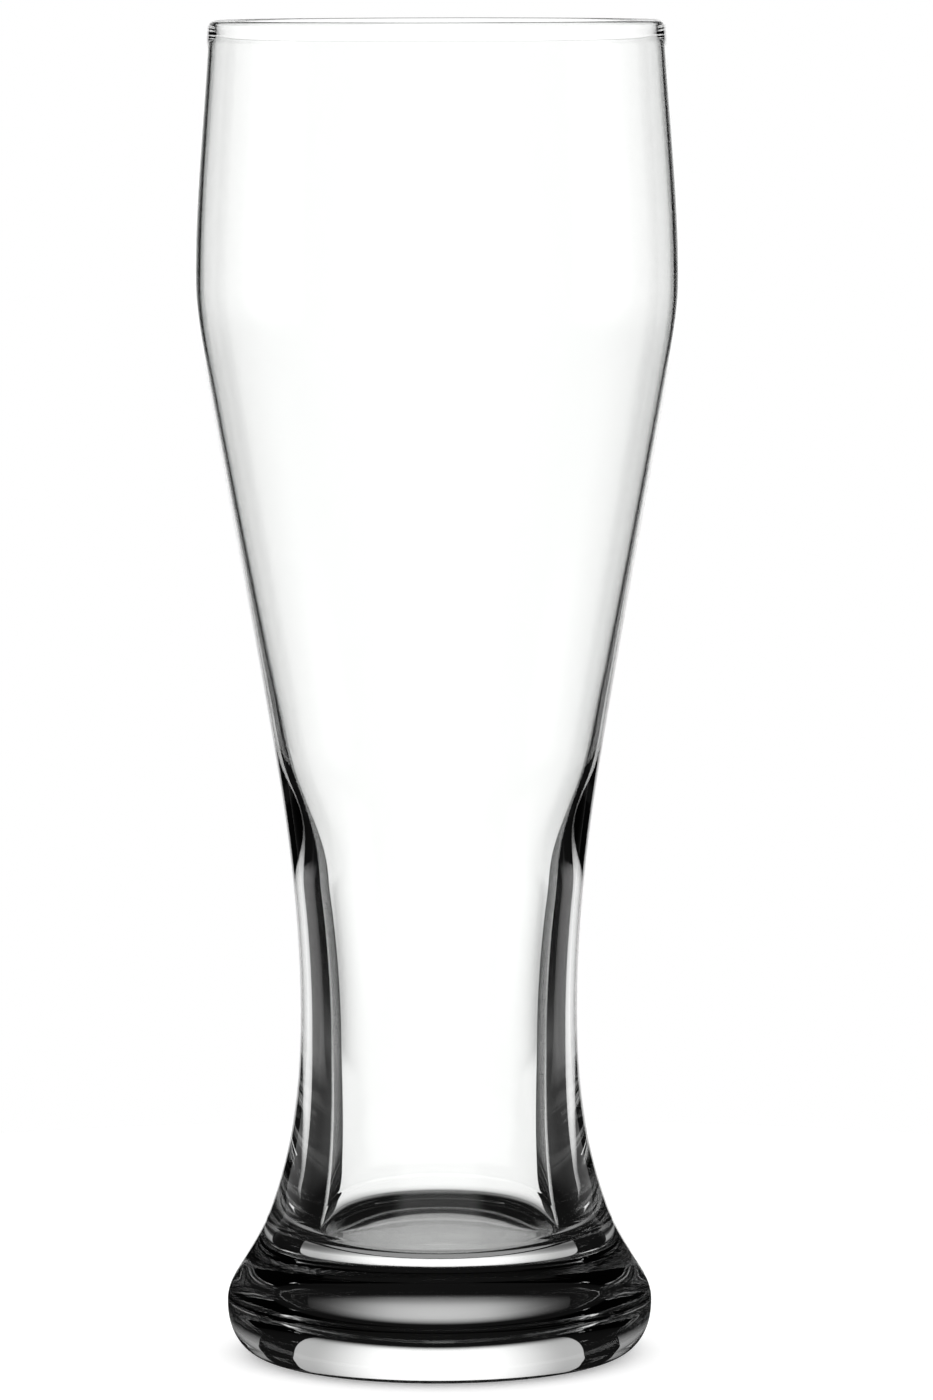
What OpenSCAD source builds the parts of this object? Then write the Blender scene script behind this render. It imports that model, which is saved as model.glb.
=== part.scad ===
// Wheat beer glass: one piece of clear moulded glass, standing on its bearing ring.
// Lengths in millimetres. The origin is the centre of the plane it stands on, Z is up.
// The glass is split where the moulds and the burner leave their marks: foot, waist, bowl
// and rim, meeting face to face.

/* [Overall] */
// Height from the table to the top of the lip
height = 234; // [215:1:260]
// Outer diameter just below the lip
rim_diameter = 79.5; // [74:0.1:84]
// Outer diameter at the widest part of the bowl
bulge_diameter = 84.7; // [80:0.1:92]
// Height of the widest part of the bowl
bulge_height = 189.5; // [184:0.5:200]
// Outer diameter at the narrowest part of the waist
waist_diameter = 48.7; // [46:0.1:56]
// Height of the narrowest part of the waist
waist_height = 61; // [52:0.5:66]
// Diameter of the foot where it is widest
foot_diameter = 74.8; // [70:0.1:82]

/* [Outside of the bowl] */
// Height of the plane where the thick waist ends and the blown bowl begins
bowl_start_height = 104.5; // [98:0.5:112]
// Outer diameter on that plane
bowl_start_diameter = 56.7; // [54:0.1:60]
// Lean of the outer wall there, radius gained for each unit of height
bowl_start_lean = 0.161; // [0.1:0.005:0.22]
// Height where the straight taper starts to turn into the bulge
taper_end_height = 172; // [165:0.5:178]
// Outer diameter there
taper_end_diameter = 80.4; // [78:0.1:82]
// Lean of the outer wall there
taper_end_lean = 0.175; // [0.12:0.005:0.22]
// Lean of the outer wall at the lip, negative because it closes in
rim_lean = -0.05; // [-0.1:0.005:0]

/* [Inside of the bowl] */
// Wall thickness just below the lip
rim_wall = 1; // [0.8:0.05:1.6]
// Wall thickness at the bulge
bulge_wall = 1.1; // [0.9:0.05:1.8]
// Height of the widest part of the inside
inner_bulge_height = 188.5; // [184:0.5:196]
// Wall thickness where the taper starts to turn into the bulge
taper_end_wall = 1; // [0.8:0.05:1.6]
// Lean of the inner wall there
inner_taper_lean = 0.185; // [0.12:0.005:0.22]
// Height of the top of the inner shoulder, where the wall starts to thicken
shoulder_top_height = 105.5; // [98:0.5:110]
// Inner diameter there
shoulder_top_diameter = 52.7; // [50:0.1:53.6]
// Lean of the inner wall there
shoulder_top_lean = 0.2; // [0.15:0.005:0.26]
// Height of the bottom of the inner shoulder
shoulder_foot_height = 84.5; // [80:0.5:88]
// Inner diameter there
shoulder_foot_diameter = 42.3; // [40:0.1:43]
// Lean of the inner wall there
shoulder_foot_lean = 0.145; // [0.06:0.005:0.16]
// Inner diameter at its narrowest, in the waist
throat_diameter = 38.1; // [34:0.1:40]
// Height of the narrowest part of the inside
throat_height = 55.5; // [48:0.5:62]

/* [Lip] */
// Height of the band that the burner rounds and thickens
lip_height = 4; // [3:0.5:8]
// Extra thickness that the rounded lip gains on its inside
lip_swell = 0.4; // [0:0.05:0.6]

/* [Foot] */
// Height of the parting ring between the base mould and the body mould
seam_height = 24; // [21:0.5:26]
// Outer diameter at the parting ring
seam_diameter = 60.8; // [58:0.2:64]
// Lean of the outer wall at the parting ring
seam_lean = -0.395; // [-0.5:0.005:-0.25]
// Relief of the parting ring above the surface
seam_relief = 0.05; // [0.05:0.01:0.3]
// Width of the parting ring
seam_width = 1; // [0.6:0.1:1.6]
// Height on the flank of the foot where it is steepest
flank_height = 14.5; // [13:0.5:16]
// Outer diameter there
flank_diameter = 71.4; // [68:0.1:73]
// Lean of the flank there
flank_lean = -0.595; // [-0.7:0.005:-0.45]
// Height where the foot is widest
belly_height = 9.5; // [7:0.1:10]
// How full the rounded edge below the belly is: 2 is an elliptic arc, more is squarer
belly_fullness = 2.15; // [2:0.05:3]
// Outer diameter of the ring that it stands on
bearing_diameter = 61; // [58:0.5:66]
// Width of the flat of that ring
bearing_width = 4; // [3:0.5:6]
// Rise of the hollow underside at its middle
punt_depth = 0.4; // [0.4:0.1:4]

/* [Inner floor] */
// Depth of the inner floor below the parting ring
floor_drop = 5.8; // [4.4:0.1:6.5]
// Radius of the corner between inner floor and wall
floor_corner_radius = 3.1; // [1.5:0.1:3.2]
// How far the middle of the inner floor lies below its edge
floor_dish = 0; // [0:0.1:1]
// Inner diameter just above that corner
heel_diameter = 42.7; // [42:0.1:47]
// Lean of the inner wall there
heel_lean = -0.19; // [-0.25:0.005:-0.1]

/* [Hidden] */
$fn = 128;
glass_tint = [0.86, 0.89, 0.9, 0.5];
// Straight steps that stand for one curved stretch of the outline, and for half the parting ring
steps = 10;
ring_steps = 4;
lip_plane = height - lip_height;
floor_edge_height = seam_height - floor_drop;
heel_angle = atan(-heel_lean);
heel_height = floor_edge_height + floor_corner_radius * (1 + sin(heel_angle));
bearing_inner_radius = bearing_diameter / 2 - bearing_width;

// Rows of height, radius and lean; a cubic runs from each row to the next
outside = [
    [belly_height, foot_diameter / 2, 0],
    [flank_height, flank_diameter / 2, flank_lean],
    [seam_height, seam_diameter / 2, seam_lean],
    [waist_height, waist_diameter / 2, 0],
    [bowl_start_height, bowl_start_diameter / 2, bowl_start_lean],
    [taper_end_height, taper_end_diameter / 2, taper_end_lean],
    [bulge_height, bulge_diameter / 2, 0],
    [height, rim_diameter / 2, rim_lean],
];
inside = [
    [heel_height, heel_diameter / 2, heel_lean],
    [throat_height, throat_diameter / 2, 0],
    [shoulder_foot_height, shoulder_foot_diameter / 2, shoulder_foot_lean],
    [shoulder_top_height, shoulder_top_diameter / 2, shoulder_top_lean],
    [taper_end_height, taper_end_diameter / 2 - taper_end_wall, inner_taper_lean],
    [inner_bulge_height, bulge_diameter / 2 - bulge_wall, 0],
    [height, rim_diameter / 2 - rim_wall, rim_lean],
];

function cubic(a, b, t) =
    (2 * t ^ 3 - 3 * t ^ 2 + 1) * a[1] + (t ^ 3 - 2 * t ^ 2 + t) * (b[0] - a[0]) * a[2]
    + (3 * t ^ 2 - 2 * t ^ 3) * b[1] + (t ^ 3 - t ^ 2) * (b[0] - a[0]) * b[2];
function row_below(rows, z, i = 0) =
    i >= len(rows) - 2 || z < rows[i + 1][0] ? i : row_below(rows, z, i + 1);
function along(rows, z) =
    let (i = row_below(rows, z), a = rows[i], b = rows[i + 1])
    cubic(a, b, (z - a[0]) / (b[0] - a[0]));
function ease(t) = t <= 0 ? 0 : t >= 1 ? 1 : t * t * (3 - 2 * t);
function ridge(u) = abs(u) >= 1 ? 0 : (1 - u * u) ^ 2;

function outer_radius(z) =
    along(outside, z) + seam_relief * ridge((z - seam_height) / (seam_width / 2));
function inner_radius(z) =
    along(inside, z) - lip_swell * ease((z - lip_plane) / lip_height);

// Heights from low to high: the ends, and the steps of every row between them
function between(low, high, n) = [for (k = [0 : n]) low + (high - low) * k / n];
function stations(rows, low, high) = [
    for (i = [0 : len(rows) - 2])
        let (a = max(low, rows[i][0]), b = min(high, rows[i + 1][0]))
        if (b > a) each [for (k = [0 : steps - 1]) a + (b - a) * k / steps],
    high
];
function wall_out(low, high) = [for (z = stations(outside, low, high)) [outer_radius(z), z]];
function wall_in(low, high) = [for (z = stations(inside, low, high)) [inner_radius(z), z]];
function turned(points) = [for (k = [len(points) - 1 : -1 : 0]) points[k]];

module lathe(outline) {
    rotate_extrude() polygon(outline);
}

// Rounded, slightly thickened lip; its half round spans the wall that it ends
module rim() {
    lip_radius = (outer_radius(height) - inner_radius(height)) / 2;
    top = height - lip_radius;
    middle = (outer_radius(top) + inner_radius(top)) / 2;
    half_wall = outer_radius(top) - middle;
    half_round = [for (k = [1 : steps - 1]) let (a = 180 * k / steps)
        [middle + half_wall * cos(a), top + lip_radius * sin(a)]];
    color(glass_tint)
    lathe(concat(wall_out(lip_plane, top), half_round, turned(wall_in(lip_plane, top))));
}

// Thin blown wall: long taper, soft bulge, then closing in towards the lip
module bowl() {
    color(glass_tint)
    lathe(concat(
        wall_out(bowl_start_height, lip_plane),
        turned(wall_in(bowl_start_height, lip_plane))
    ));
}

// Thick lower wall with the inner shoulder, narrowed to the waist, flaring to the parting ring
module waist() {
    seam_edge = seam_height + seam_width / 2;
    seam_top = [for (z = between(seam_height, seam_edge, ring_steps)) [outer_radius(z), z]];
    flare = [for (z = stations(outside, seam_edge, bowl_start_height))
        if (z > seam_edge) [outer_radius(z), z]];
    color(glass_tint)
    lathe(concat(seam_top, flare, turned(wall_in(seam_height, bowl_start_height))));
}

// Solid pressed foot: flared flank, rounded belly, bearing ring, hollow underside, inner floor
module foot() {
    seam_edge = seam_height - seam_width / 2;
    dome = (bearing_inner_radius ^ 2 + punt_depth ^ 2) / (2 * punt_depth);
    dome_angle = asin(bearing_inner_radius / dome);
    punt = [for (k = [0 : steps]) let (a = dome_angle * k / steps)
        [dome * sin(a), punt_depth - dome * (1 - cos(a))]];
    belly_reach = (foot_diameter - bearing_diameter) / 2;
    belly_power = 2 / belly_fullness;
    belly = [for (k = [0 : steps - 1]) let (a = 90 * k / steps)
        [bearing_diameter / 2 + belly_reach * sin(a) ^ belly_power,
         belly_height * (1 - cos(a) ^ belly_power)]];
    flank = [for (z = stations(outside, belly_height, seam_edge))
        if (z < seam_edge) [outer_radius(z), z]];
    seam = [for (z = between(seam_edge, seam_height, ring_steps)) [outer_radius(z), z]];
    corner_middle = heel_diameter / 2 - floor_corner_radius * cos(heel_angle);
    corner_height = floor_edge_height + floor_corner_radius;
    corner = [for (k = [0 : steps]) let (a = -90 + (90 + heel_angle) * k / steps)
        [corner_middle + floor_corner_radius * cos(a), corner_height + floor_corner_radius * sin(a)]];
    dish = [for (k = [0 : steps - 1]) let (u = k / steps)
        [corner_middle * u, floor_edge_height - floor_dish * (1 - u * u)]];
    heel = [[inner_radius(seam_height), seam_height]];
    color(glass_tint)
    lathe(concat(punt, belly, flank, seam, heel, turned(corner), turned(dish)));
}

foot();
waist();
bowl();
rim();
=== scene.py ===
"""Wheat beer glass: clear, colourless, moulded in one piece, standing empty on a pale floor.

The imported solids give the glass's outline. Each stretch of it (foot, waist, bowl, rim) is
turned again here as a fine, closed mesh whose shading runs on unbroken across the planes
where two stretches are fused.
"""

from __future__ import annotations

import logging
import math
from dataclasses import dataclass, field
from enum import Enum

import bpy
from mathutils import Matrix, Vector


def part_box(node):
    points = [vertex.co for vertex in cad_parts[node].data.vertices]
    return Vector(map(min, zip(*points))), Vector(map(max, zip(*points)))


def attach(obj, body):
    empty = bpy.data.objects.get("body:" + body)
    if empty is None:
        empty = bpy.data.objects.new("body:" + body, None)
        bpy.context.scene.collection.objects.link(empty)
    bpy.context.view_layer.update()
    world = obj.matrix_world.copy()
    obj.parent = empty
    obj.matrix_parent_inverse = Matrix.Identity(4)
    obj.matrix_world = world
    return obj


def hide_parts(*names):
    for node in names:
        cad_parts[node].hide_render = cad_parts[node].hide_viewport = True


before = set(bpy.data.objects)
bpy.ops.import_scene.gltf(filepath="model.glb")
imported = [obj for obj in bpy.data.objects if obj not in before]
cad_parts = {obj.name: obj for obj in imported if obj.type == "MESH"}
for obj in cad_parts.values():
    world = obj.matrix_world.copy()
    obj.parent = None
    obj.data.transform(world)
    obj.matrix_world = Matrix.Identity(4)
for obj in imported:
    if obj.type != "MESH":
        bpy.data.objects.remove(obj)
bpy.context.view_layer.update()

MM = 0.001
# Places are rounded to this many decimals of a metre where they have to be equal
DECIMALS = 8
# A ray's bounces are counted in whole numbers, so a count over this is one or more
NO_BOUNCE = 0.5
# How often a ray may be bent, mirrored or let through
BENT_LIMIT = 24
MIRRORED_LIMIT = 12
CLEAR_LIMIT = 32
LOG = logging.getLogger("weizen_glass")

Point = tuple[float, float]


class Slot(Enum):
    """The material slots of a turned stretch of glass."""

    GLASS = 0
    JOINT = 1


@dataclass(frozen=True)
class Spot:
    """A point of the outline, with the outward normal of the glass there."""

    radius: float
    height: float
    normal: Point


@dataclass(frozen=True)
class Strip:
    """One narrow cone of the glass's skin, from one spot of the outline to the next."""

    start: Spot
    end: Spot
    node: str


class Value:
    """A number on its way through a shader: Python's operators add Math nodes for it."""

    def __init__(self, tree: Tree, socket: bpy.types.NodeSocket) -> None:
        """Wraps a socket.

        Args:
            tree: the node tree that new nodes go into.
            socket: the output socket that gives the number.
        """
        self.tree = tree
        self.socket = socket

    def maths(self, operation: str, *others: Value | float, flipped: bool = False) -> Value:
        """Adds one Math node.

        Args:
            operation: the node's operation.
            others: the other operands, in order.
            flipped: puts this value after the first of the others.

        Returns:
            The node's result.
        """
        operands: list[Value | float] = [self, *others]
        if flipped:
            operands[0], operands[1] = operands[1], operands[0]
        sockets = {i: operand for i, operand in enumerate(operands)}
        made = self.tree.node("ShaderNodeMath", {"operation": operation}, sockets)
        return Value(self.tree, made.outputs[0])

    def __add__(self, other: Value | float) -> Value:
        """Adds."""
        return self.maths("ADD", other)

    def __radd__(self, other: Value | float) -> Value:
        """Adds, the other way round."""
        return self.maths("ADD", other)

    def __sub__(self, other: Value | float) -> Value:
        """Subtracts."""
        return self.maths("SUBTRACT", other)

    def __rsub__(self, other: Value | float) -> Value:
        """Subtracts this from a number."""
        return self.maths("SUBTRACT", other, flipped=True)

    def __mul__(self, other: Value | float) -> Value:
        """Multiplies."""
        return self.maths("MULTIPLY", other)

    def __rmul__(self, other: Value | float) -> Value:
        """Multiplies, the other way round."""
        return self.maths("MULTIPLY", other)

    def __abs__(self) -> Value:
        """Drops the sign."""
        return self.maths("ABSOLUTE")

    def fade(self, start: float, end: float) -> Value:
        """Rises smoothly from 0 where this value is start to 1 where it is end.

        Args:
            start: the value that gives 0.
            end: the value that gives 1.

        Returns:
            The smooth step.
        """
        settings = {"interpolation_type": "SMOOTHSTEP"}
        sockets = {"Value": self, "From Min": start, "From Max": end}
        made = self.tree.node("ShaderNodeMapRange", settings, sockets)
        return Value(self.tree, made.outputs["Result"])


class Tree:
    """A shader node tree that is being filled."""

    def __init__(self, tree: bpy.types.NodeTree) -> None:
        """Empties the tree.

        Args:
            tree: the tree of a material or of the world.
        """
        self.tree = tree
        tree.nodes.clear()

    def node(self, kind: str, settings: dict | None = None, sockets: dict | None = None) -> bpy.types.Node:
        """Adds a node.

        Args:
            kind: the node's type.
            settings: its properties, which are set first.
            sockets: its inputs, by name or number; each is a number, a colour, a socket or a Value.

        Returns:
            The new node.
        """
        made = self.tree.nodes.new(kind)
        for name, setting in (settings or {}).items():
            setattr(made, name, setting)
        for name, given in (sockets or {}).items():
            source = given.socket if isinstance(given, Value) else given
            if isinstance(source, bpy.types.NodeSocket):
                self.tree.links.new(source, made.inputs[name])
            else:
                made.inputs[name].default_value = source
        return made

    def position(self) -> bpy.types.NodeSocket:
        """Object coordinates.

        Returns:
            The socket that gives them, in metres.
        """
        return self.node("ShaderNodeTexCoord").outputs["Object"]

    def ray(self, question: str) -> Value:
        """Asks the Light Path node about the ray that is being shaded.

        Args:
            question: the name of one of the node's outputs.

        Returns:
            The answer.
        """
        return Value(self, self.node("ShaderNodeLightPath").outputs[question])

    def parts(self, vector: bpy.types.NodeSocket) -> tuple[Value, Value, Value]:
        """Splits a vector.

        Args:
            vector: the socket that gives it.

        Returns:
            Its X, Y and Z.
        """
        made = self.node("ShaderNodeSeparateXYZ", None, {"Vector": vector})
        x, y, z = (Value(self, out) for out in made.outputs)
        return x, y, z


@dataclass(frozen=True)
class GlassFinish:
    """Clear soda-lime glass, with the faint waviness that moulds and blowing leave."""

    name: str = "clear_glass"
    colour: tuple[float, float, float, float] = (0.985, 0.99, 0.985, 1.0)
    ior: float = 1.52
    wave_size: float = 22 * MM
    wave_depth: float = 0.004 * MM
    wave_detail: float = 1.0
    stipple_size: float = 0.5 * MM
    stipple_depth: float = 0.12 * MM
    stipple_slant: float = 0.8
    stipple_stretch: float = 0.3
    stipple_detail: float = 2.0
    ring_edges: Point = (26.5 * MM, 30.5 * MM)
    ring_edge_blur: float = 0.3 * MM
    ring_skin: float = 0.1 * MM

    def material(self) -> bpy.types.Material:
        """Builds the material.

        Returns:
            The material.
        """
        made = bpy.data.materials.new(self.name)
        made.use_nodes = True
        tree = Tree(made.node_tree)
        noise = tree.node(
            "ShaderNodeTexNoise",
            {"noise_dimensions": "3D"},
            {
                "Vector": tree.position(),
                "Scale": 1 / self.wave_size,
                "Detail": self.wave_detail,
            },
        )
        height = Value(tree, noise.outputs[0]) * self.wave_depth + self.stipple(tree)
        bump = tree.node("ShaderNodeBump", None, {"Strength": 1.0, "Distance": 1.0, "Height": height})
        skin = tree.node(
            "ShaderNodeBsdfPrincipled",
            None,
            {
                "Base Color": self.colour,
                "Roughness": 0.0,
                "IOR": self.ior,
                "Transmission Weight": 1.0,
                "Normal": bump.outputs[0],
            },
        )
        tree.node("ShaderNodeOutputMaterial", None, {"Surface": skin.outputs[0]})
        return made

    def stipple(self, tree: Tree) -> Value:
        """Makes the short slanted strokes that roughen the flat of the bearing ring.

        Args:
            tree: the material's node tree.

        Returns:
            Their height in metres, 0 away from the ring.
        """
        x, y, z = tree.parts(tree.position())
        radius = (x * x + y * y).maths("SQRT")
        middle = sum(self.ring_edges) / 2
        around = y.maths("ARCTAN2", x) * middle + radius * self.stipple_slant
        across = radius * self.stipple_stretch
        place = tree.node("ShaderNodeCombineXYZ", None, {0: around, 1: across, 2: 0.0})
        strokes = tree.node(
            "ShaderNodeTexNoise",
            {"noise_dimensions": "2D"},
            {
                "Vector": place.outputs[0],
                "Scale": 1 / self.stipple_size,
                "Detail": self.stipple_detail,
            },
        )
        near, far = self.ring_edges
        soft = self.ring_edge_blur
        band = radius.fade(near - soft, near + soft) * (1 - radius.fade(far - soft, far + soft))
        flat = 1 - z.fade(0.0, self.ring_skin)
        return Value(tree, strokes.outputs[0]) * band * flat * self.stipple_depth


@dataclass(frozen=True)
class JointFinish:
    """The plane where two stretches are fused: nothing shows there."""

    name: str = "fused_joint"

    def material(self) -> bpy.types.Material:
        """Builds the material.

        Returns:
            The material.
        """
        made = bpy.data.materials.new(self.name)
        made.use_nodes = True
        tree = Tree(made.node_tree)
        skin = tree.node("ShaderNodeBsdfPrincipled", None, {"Alpha": 0.0})
        tree.node("ShaderNodeOutputMaterial", None, {"Surface": skin.outputs[0]})
        return made


@dataclass
class Outline:
    """The glass's outline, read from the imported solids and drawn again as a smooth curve.

    Its points are radius and height. Points nearer than grain are one. A point less than play
    off the straight between its neighbours is dropped. A strip is at most step long and turns
    by at most bend. A level edge longer than flat stays straight.
    """

    grain: float = 0.01 * MM
    play: float = 0.0012 * MM
    step: float = 2.2 * MM
    bend: float = math.radians(2.5)
    flat: float = 1.5 * MM
    runs: list[tuple[str, list[Point]]] = field(default_factory=list)

    def edges(self, node: str) -> list[tuple[Point, Point]]:
        """Finds the edges of a solid that lie in the half plane Y = 0, X > 0.

        Args:
            node: the node's name.

        Returns:
            Each edge once, as two points of radius and height.
        """
        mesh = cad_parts[node].data
        spots = [v.co for v in mesh.vertices]
        flat = [abs(p.y) < self.grain and p.x > -self.grain for p in spots]
        found = {}
        for face in mesh.polygons:
            ring = list(face.vertices)
            for a, b in zip(ring, ring[1:] + ring[:1]):
                if flat[a] and flat[b]:
                    pair = (spots[a], spots[b])
                    ends = sorted((round(p.x, DECIMALS), round(p.z, DECIMALS)) for p in pair)
                    if ends[0] != ends[1]:
                        found[tuple(ends)] = tuple(ends)
        return list(found)

    def paths(self, node: str, planes: set[float]) -> list[list[Point]]:
        """Chains a solid's edges, leaving out those on the planes where it is fused.

        Args:
            node: the node's name.
            planes: the heights of those planes.

        Returns:
            Each chain's points in order.
        """

        def is_fused(spot: Point) -> bool:
            return any(abs(spot[1] - plane) < self.grain for plane in planes)

        kept = [(a, b) for a, b in self.edges(node) if not (is_fused(a) and is_fused(b))]
        near: dict[Point, list[Point]] = {}
        for a, b in kept:
            near.setdefault(a, []).append(b)
            near.setdefault(b, []).append(a)
        chains = []
        used: set[Point] = set()
        for end in sorted(p for p in near if len(near[p]) == 1):
            if end in used:
                continue
            chain = [end]
            used.add(end)
            while True:
                ahead = [p for p in near[chain[-1]] if p not in used]
                if not ahead:
                    break
                chain.append(ahead[0])
                used.add(ahead[0])
            chains.append(chain)
        return chains

    def corners(self, path: list[Point]) -> list[Point]:
        """Leaves out the points that only split a straight edge into shorter ones.

        Args:
            path: a chain of points.

        Returns:
            The points where the chain turns, with its two ends.
        """
        kept = [path[0]]
        for back, here, ahead in zip(path, path[1:], path[2:]):
            chord = Vector(ahead) - Vector(back)
            aside = Vector(here) - Vector(back)
            if abs(chord.cross(aside)) > self.play * chord.length:
                kept.append(here)
        return kept + [path[-1]]

    def read(self) -> Outline:
        """Reads the whole outline, from the middle of the underside round to the inner floor.

        Returns:
            The outline itself.
        """
        ends = [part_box(node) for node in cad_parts]
        tops = [high.z for low, high in ends]
        planes = {low.z for low, high in ends if any(abs(low.z - t) < self.grain for t in tops)}
        loose = [(node, path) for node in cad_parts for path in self.paths(node, planes)]
        here = (0.0, min(p[1] for _, path in loose for p in path if p[0] < self.grain))
        while loose:
            reach = [
                (math.dist(here, p), i, flip)
                for i, (_, path) in enumerate(loose)
                for flip, p in ((False, path[0]), (True, path[-1]))
            ]
            gap, i, flip = min(reach)
            if gap > 2 * self.grain:
                raise ValueError(f"the outline breaks off at {here}")
            node, path = loose.pop(i)
            self.runs.append((node, self.corners(path[::-1] if flip else path)))
            here = self.runs[-1][1][-1]
        if here[0] > self.grain:
            self.runs[-1][1].append((0.0, here[1]))
        return self

    def strips(self) -> list[Strip]:
        """Draws the smooth curve and cuts it into short strips.

        Returns:
            The strips, in order.
        """
        points: list[Point] = []
        owners: list[str] = []
        for node, path in self.runs:
            fresh = path if not points else path[1:]
            points += fresh
            owners += [node] * (len(points) - 1 - len(owners))
        places = [Vector(p) for p in points]
        level = [i for i, (a, b) in enumerate(zip(places, places[1:])) if self.is_level(a, b)]
        starts = [0] + [i + 1 for i in level]
        ends = level + [len(places) - 1]
        made = []
        for start, end in zip(starts, ends):
            if end > start:
                leans = self.leans(places[start : end + 1])
                for i in range(start, end):
                    pair = (leans[i - start], leans[i - start + 1])
                    made += self.cut(places[i], places[i + 1], *pair, owners[i])
            if end in level:
                straight = (places[end + 1] - places[end]).normalized()
                made += self.cut(places[end], places[end + 1], straight, straight, owners[end])
        return made

    def is_level(self, a: Vector, b: Vector) -> bool:
        """Tells whether an edge is one of the flats, which stay straight.

        Args:
            a: where the edge starts.
            b: where it ends.

        Returns:
            True for the flat of the bearing ring and for the inner floor.
        """
        return abs(a.y - b.y) < self.grain and (b - a).length > self.flat

    def leans(self, places: list[Vector]) -> list[Vector]:
        """Finds the directions of the cubic spline through a run of points, level at both ends.

        Args:
            places: the points.

        Returns:
            The curve's change at each point, for each unit of the edges' length.
        """
        edges = [q - p for p, q in zip(places, places[1:])]
        spans = [edge.length for edge in edges]
        first = Vector((math.copysign(1, edges[0].x), 0))
        last = Vector((math.copysign(1, edges[-1].x), 0))
        weights = [0.0]
        shares = [first]
        for i in range(1, len(edges)):
            before, after = 1 / spans[i - 1], 1 / spans[i]
            pull = 3 * (edges[i - 1] * before**2 + edges[i] * after**2)
            whole = 2 * (before + after) - before * weights[-1]
            weights.append(after / whole)
            shares.append((pull - shares[-1] * before) / whole)
        found = [last]
        for weight, share in zip(weights[::-1], shares[::-1]):
            found.append(share - found[-1] * weight)
        return found[::-1]

    def cut(self, start: Vector, end: Vector, lean_a: Vector, lean_b: Vector, node: str) -> list[Strip]:
        """Cuts one edge of the outline into strips along a cubic.

        Args:
            start: where the edge starts.
            end: where it ends.
            lean_a: the curve's direction at its start.
            lean_b: the curve's direction at its end.
            node: the stretch that it belongs to.

        Returns:
            The strips.
        """
        length = (end - start).length
        bend = lean_a.angle(lean_b)
        count = max(1, math.ceil(length / self.step), math.ceil(bend / self.bend))
        spots = []
        for k in range(count + 1):
            t = k / count
            place = (
                start * (2 * t**3 - 3 * t**2 + 1)
                + lean_a * length * (t**3 - 2 * t**2 + t)
                + end * (3 * t**2 - 2 * t**3)
                + lean_b * length * (t**3 - t**2)
            )
            way = (
                start * (6 * t**2 - 6 * t)
                + lean_a * length * (3 * t**2 - 4 * t + 1)
                + end * (6 * t - 6 * t**2)
                + lean_b * length * (3 * t**2 - 2 * t)
            ).normalized()
            spots.append(Spot(max(place.x, 0.0), place.y, (way.y, -way.x)))
        return [Strip(p, q, node) for p, q in zip(spots, spots[1:])]


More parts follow.
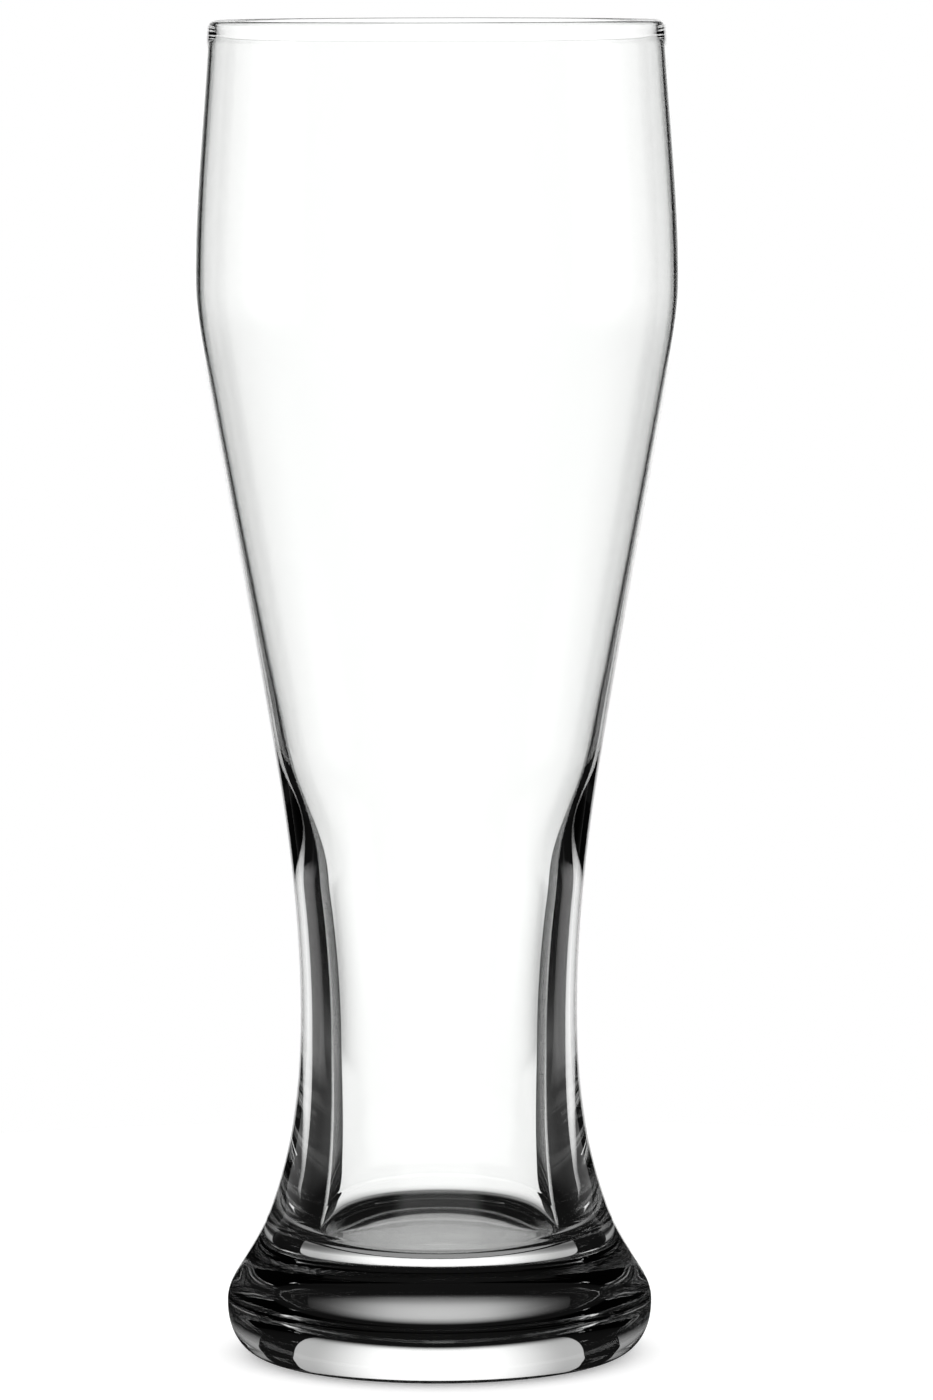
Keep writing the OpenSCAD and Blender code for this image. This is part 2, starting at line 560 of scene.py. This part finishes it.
@dataclass
class Stretch:
    """One stretch of the glass, turned from its strips and closed where it is fused.

    A spot whose radius is under axis_radius lies on the axis and is a single point.
    """

    name: str
    strips: list[Strip]
    materials: list[bpy.types.Material]
    turns: int = 512
    axis_radius: float = 0.0001 * MM

    def build(self) -> bpy.types.Object:
        """Turns the strips, closes the fused planes and gives the skin its exact normals.

        Returns:
            The piece.
        """
        verts: list[tuple[float, float, float]] = []
        rings: dict[Point, list[int]] = {}
        faces: list[list[int]] = []
        normals: list[tuple[float, float, float]] = []
        slots: list[int] = []
        angles = [math.tau * k / self.turns for k in range(self.turns)]
        around = [(math.cos(a), math.sin(a)) for a in angles]

        def ring(spot: Spot) -> list[int]:
            key = self.place(spot)
            if key not in rings:
                first = len(verts)
                if spot.radius < self.axis_radius:
                    verts.append((0.0, 0.0, spot.height))
                    rings[key] = [first] * self.turns
                else:
                    verts.extend((spot.radius * c, spot.radius * s, spot.height) for c, s in around)
                    rings[key] = list(range(first, first + self.turns))
            return rings[key]

        def leaning(spot: Spot, k: int) -> tuple[float, float, float]:
            c, s = around[k % self.turns]
            return (spot.normal[0] * c, spot.normal[0] * s, spot.normal[1])

        for strip in self.strips:
            low, high = ring(strip.start), ring(strip.end)
            for k in range(self.turns):
                m = (k + 1) % self.turns
                corners = [(low[k], strip.start, k), (low[m], strip.start, k + 1)]
                corners += [(high[m], strip.end, k + 1), (high[k], strip.end, k)]
                kept = [c for j, c in enumerate(corners) if c[0] != corners[j - 1][0]]
                faces.append([c[0] for c in kept])
                normals += [leaning(spot, turn) for _, spot, turn in kept]
                slots.append(Slot.GLASS.value)
        for height, inner, outer, up in self.planes():
            a, b = rings[(inner, height)], rings[(outer, height)]
            for k in range(self.turns):
                m = (k + 1) % self.turns
                quad = [a[k], b[k], b[m], a[m]]
                faces.append(quad if up else quad[::-1])
                normals += [(0.0, 0.0, 1.0 if up else -1.0)] * 4
                slots.append(Slot.JOINT.value)
        mesh = bpy.data.meshes.new(self.name)
        mesh.from_pydata(verts, [], faces)
        for material in self.materials:
            mesh.materials.append(material)
        mesh.polygons.foreach_set("material_index", slots)
        mesh.polygons.foreach_set("use_smooth", [True] * len(faces))
        mesh.validate()
        mesh.normals_split_custom_set(normals)
        piece = bpy.data.objects.new(self.name, mesh)
        bpy.context.scene.collection.objects.link(piece)
        return piece

    def place(self, spot: Spot) -> Point:
        """Rounds a spot's place, so that strips that meet share it.

        Args:
            spot: the spot.

        Returns:
            Its radius and height.
        """
        return (round(spot.radius, DECIMALS), round(spot.height, DECIMALS))

    def planes(self) -> list[tuple[float, float, float, bool]]:
        """Finds where the strips stop short of closing.

        Returns:
            For each fused plane its height, inner radius, outer radius, and whether the glass
            lies below it.
        """
        ends: dict[Point, int] = {}
        for strip in self.strips:
            for spot in (strip.start, strip.end):
                key = self.place(spot)
                ends[key] = ends.get(key, 0) + 1
        open_ends = [key for key, n in ends.items() if n == 1 and key[0] > self.axis_radius]
        middle = sum(s.start.height for s in self.strips) / len(self.strips)
        found = []
        for height in sorted({key[1] for key in open_ends}):
            inner, outer = sorted(key[0] for key in open_ends if key[1] == height)
            found.append((height, inner, outer, height > middle))
        return found


@dataclass
class Studio:
    """Camera, floor and surroundings, laid out as for a photograph of glass on a bright ground.

    The camera itself sees white all round. What the glass bends or mirrors is the studio: a
    bright panel behind with a dark card on either side, lit sides, and a table that mirrors
    them. Through the glass the table carries painted shade: a grey glow under the glass for
    its shadow, and near black round the foot. A low dark collar, which casts no shade and
    shows only in what the glass mirrors, paints more shade into the foot. A ray that is bent
    but never mirrored doesn't meet the collar, and finds the table bright on every side.
    """

    camera_distance: float = 1314.8 * MM
    camera_height: float = 248.43 * MM
    camera_aside: float = 5.23 * MM
    camera_pitch: float = math.radians(5.778)
    camera_roll: float = math.radians(0.115)
    lens: float = 194.08
    floor_radius: float = 260 * MM
    floor_drop: float = 0.1 * MM
    floor_turns: int = 128
    floor_white: float = 0.9
    floor_glow: float = 0.35
    panel_strength: float = 1.22
    panel_falloff: float = 0.58
    panel_bright: Point = (math.radians(8), math.radians(28))
    panel_edge: Point = (math.radians(32), math.radians(40))
    panel_top: Point = (math.radians(19.5), math.radians(33))
    gap_strength: float = 0.4
    side_strength: float = 0.9
    side_start: Point = (math.radians(70), math.radians(90))
    side_end: Point = (math.radians(100), math.radians(112))
    side_top: Point = (math.radians(4), math.radians(13))
    front_strength: float = 0.9
    front_start: Point = (math.radians(136), math.radians(152))
    front_top: Point = (math.radians(3), math.radians(12))
    dark_strength: float = 0.006
    table_strength: float = 1.15
    table_start: Point = (math.radians(8), math.radians(14))
    table_end: Point = (math.radians(38), math.radians(60))
    floor_light: float = 1.12
    # Painted shadow on the table as bent rays see it: a grey glow under the glass up to this edge, then
    # painted near-black shade out to mirror_start
    painted_shadow_glow: float = 0.3
    painted_shadow_edge: Point = (25 * MM, 30 * MM)
    mirror_start: Point = (46 * MM, 72 * MM)
    card_distance: float = 220 * MM
    card_edges: Point = (112 * MM, 202 * MM)
    card_height: float = 500 * MM
    collar_radius: float = 72 * MM
    collar_height: float = 32 * MM
    collar_angles: Point = (math.radians(40), math.radians(140))
    collar_steps: int = 48

    def camera(self) -> bpy.types.Object:
        """Sets up the camera at the photograph's angle.

        Returns:
            The camera.
        """
        data = bpy.data.cameras.new("camera")
        data.lens = self.lens
        made = bpy.data.objects.new("camera", data)
        made.location = (self.camera_aside, -self.camera_distance, self.camera_height)
        made.rotation_euler = (math.pi / 2 - self.camera_pitch, self.camera_roll, 0)
        bpy.context.scene.collection.objects.link(made)
        bpy.context.scene.camera = made
        return made

    def through_glass(self, tree: Tree) -> Value:
        """Tells the rays that the glass has bent or mirrored.

        Args:
            tree: the node tree that asks.

        Returns:
            1 for such a ray, 0 for the camera's own and for those that light the floor.
        """
        return tree.ray("Is Transmission Ray").maths("MAXIMUM", tree.ray("Is Glossy Ray"))

    def straight_through(self, tree: Tree) -> Value:
        """Tells the rays that no surface has mirrored.

        Args:
            tree: the node tree that asks.

        Returns:
            1 for such a ray, 0 for the others.
        """
        return 1 - tree.ray("Glossy Depth").maths("GREATER_THAN", NO_BOUNCE)

    def surround(
        self, name: str, verts: list[tuple], faces: list[tuple], look: bpy.types.Material
    ) -> bpy.types.Object:
        """Adds a piece of the studio, which isn't part of the object.

        Args:
            name: its name.
            verts: its points.
            faces: its faces.
            look: its material.

        Returns:
            The piece.
        """
        mesh = bpy.data.meshes.new(name)
        mesh.from_pydata(verts, [], faces)
        mesh.materials.append(look)
        made = bpy.data.objects.new(name, mesh)
        bpy.context.scene.collection.objects.link(made)
        return made

    def table_material(self) -> bpy.types.Material:
        """Makes the floor's material.

        Returns:
            White with the glass's shadow to the camera. Through the glass it carries painted
            shade: a grey glow under the glass that stands in for the glass's shadow, painted shade
            nearly black round the foot, and farther out a mirror of the surroundings, which
            the world draws below the horizon.
        """
        made = bpy.data.materials.new("pale_floor")
        made.use_nodes = True
        tree = Tree(made.node_tree)
        x, y, _ = tree.parts(tree.position())
        radius = (x * x + y * y).maths("SQRT")
        # Painted shadow that only bent rays see: a grey glow under the glass in place of its shade, and
        # painted shade nearly black round the foot until the floor turns clear
        under = 1 - radius.fade(*self.painted_shadow_edge)
        level = self.dark_strength + under * self.painted_shadow_glow
        near = tree.node("ShaderNodeEmission", None, {"Strength": level})
        clear = tree.node("ShaderNodeBsdfTransparent")
        away = radius.fade(*self.mirror_start)
        seen = tree.node("ShaderNodeMixShader", None, {0: away, 1: near.outputs[0], 2: clear.outputs[0]})
        white = self.floor_white
        plain = tree.node("ShaderNodeBsdfDiffuse", None, {"Color": (white, white, white, 1)})
        glow = tree.node("ShaderNodeEmission", None, {"Strength": self.floor_glow})
        direct = tree.ray("Is Camera Ray")
        lit = tree.node("ShaderNodeAddShader", None, {0: plain.outputs[0], 1: glow.outputs[0]})
        floor = tree.node("ShaderNodeMixShader", None, {0: direct, 1: plain.outputs[0], 2: lit.outputs[0]})
        bent = self.through_glass(tree)
        whole = tree.node("ShaderNodeMixShader", None, {0: bent, 1: floor.outputs[0], 2: seen.outputs[0]})
        tree.node("ShaderNodeOutputMaterial", None, {"Surface": whole.outputs[0]})
        return made

    def card_material(self, name: str, mirrored_only: bool) -> bpy.types.Material:
        """Makes the material of the dark cards or of the collar.

        Args:
            name: the material's name.
            mirrored_only: leaves it out for the rays that no surface has mirrored.

        Returns:
            Nearly black through the glass, and nothing to any other ray.
        """
        made = bpy.data.materials.new(name)
        made.use_nodes = True
        tree = Tree(made.node_tree)
        level = self.dark_strength
        dark = tree.node("ShaderNodeEmission", None, {"Color": (level, level, level, 1)})
        clear = tree.node("ShaderNodeBsdfTransparent")
        bent = self.through_glass(tree)
        if mirrored_only:
            bent = bent * (1 - self.straight_through(tree))
        whole = tree.node("ShaderNodeMixShader", None, {0: bent, 1: clear.outputs[0], 2: dark.outputs[0]})
        tree.node("ShaderNodeOutputMaterial", None, {"Surface": whole.outputs[0]})
        return made

    def floor(self) -> bpy.types.Object:
        """Lays the pale floor under the glass.

        Returns:
            The floor.
        """
        rim = [math.tau * k / self.floor_turns for k in range(self.floor_turns)]
        low = -self.floor_drop
        verts = [(self.floor_radius * math.cos(a), self.floor_radius * math.sin(a), low) for a in rim]
        return self.surround("floor", verts, [tuple(range(self.floor_turns))], self.table_material())

    def cards(self) -> list[bpy.types.Object]:
        """Stands the dark cards behind the glass and the collar round its foot.

        They reach as far below the floor as above it, which is how the table mirrors them.

        Returns:
            The cards and the two halves of the collar.
        """
        card_look = self.card_material("dark_card", mirrored_only=False)
        # The collar casts no shade and only mirrored rays see it: it is painted shade in the foot's
        # reflections
        collar_look = self.card_material("dark_collar", mirrored_only=True)
        near, far = self.card_edges
        top = self.card_height
        made = []
        for side in (-1, 1):
            word = "left" if side < 0 else "right"
            edges = ((near, -top), (far, -top), (far, top), (near, top))
            verts = [(side * x, self.card_distance, z) for x, z in edges]
            made.append(self.surround(f"{word}_card", verts, [(0, 1, 2, 3)], card_look))
            start, end = self.collar_angles
            verts = []
            for k in range(self.collar_steps + 1):
                a = start + (end - start) * k / self.collar_steps
                place = (side * self.collar_radius * math.sin(a), self.collar_radius * math.cos(a))
                verts += [(*place, -self.collar_height), (*place, self.collar_height)]
            faces = [(2 * k, 2 * k + 2, 2 * k + 3, 2 * k + 1) for k in range(self.collar_steps)]
            made.append(self.surround(f"{word}_collar", verts, faces, collar_look))
        return made

    def world(self) -> bpy.types.World:
        """Surrounds the glass with the panel, the gaps, the lit sides and the front.

        What the outside of the glass mirrors straight back has neither lit front nor table.

        Returns:
            The world.
        """
        made = bpy.data.worlds.new("studio")
        made.use_nodes = True
        tree = Tree(made.node_tree)
        x, y, z = tree.parts(tree.node("ShaderNodeTexCoord").outputs["Generated"])
        aside = abs(x.maths("ARCTAN2", y))
        rise = z.maths("ARCSINE")
        height = abs(rise)
        inside = tree.ray("Transmission Depth").maths("GREATER_THAN", NO_BOUNCE)
        behind = 1 - aside.fade(*self.panel_edge)
        side = aside.fade(*self.side_start)
        lit = 1 - aside.fade(*self.side_end)
        front = aside.fade(*self.front_start) * inside
        low = 1 - height.fade(*self.panel_top)
        side_low = 1 - height.fade(*self.side_top)
        beside = (1 - behind) * lit * side_low
        even = 1 - aside.fade(*self.panel_bright) * self.panel_falloff
        around = behind * low * even * self.panel_strength
        around = around + beside * (self.gap_strength + side * (self.side_strength - self.gap_strength))
        front_low = 1 - rise.fade(*self.front_top)
        pattern = self.dark_strength + around + front * front_low * self.front_strength
        drop = 0.0 - rise
        down = drop.fade(*self.table_start) * (1 - drop.fade(*self.table_end))
        table = down * self.straight_through(tree) * inside * self.table_strength
        pattern = pattern.maths("MAXIMUM", table)
        bent = self.through_glass(tree)
        direct = tree.ray("Is Camera Ray")
        plain = direct + (1 - direct) * self.floor_light
        shown = plain * (1 - bent) + pattern * bent
        glow = tree.node("ShaderNodeBackground", None, {"Color": (1, 1, 1, 1), "Strength": shown})
        tree.node("ShaderNodeOutputWorld", None, {"Surface": glow.outputs[0]})
        bpy.context.scene.world = made
        return made


def main() -> None:
    """Builds the studio and the glass."""
    logging.basicConfig(level=logging.INFO, format="%(message)s")
    scene = bpy.context.scene
    scene.view_settings.view_transform = "Standard"
    scene.cycles.max_bounces = BENT_LIMIT
    scene.cycles.transmission_bounces = BENT_LIMIT
    scene.cycles.glossy_bounces = MIRRORED_LIMIT
    scene.cycles.transparent_max_bounces = CLEAR_LIMIT
    studio = Studio()
    studio.camera()
    studio.floor()
    studio.cards()
    studio.world()
    materials = [GlassFinish().material(), JointFinish().material()]
    strips = Outline().read().strips()
    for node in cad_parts:
        own = [s for s in strips if s.node == node]
        piece = Stretch(f"{node}_glass", own, materials).build()
        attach(piece, "root")
        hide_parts(node)
        LOG.info("%s: %d strips, %d faces", piece.name, len(own), len(piece.data.polygons))


if __name__ == "__main__":
    main()
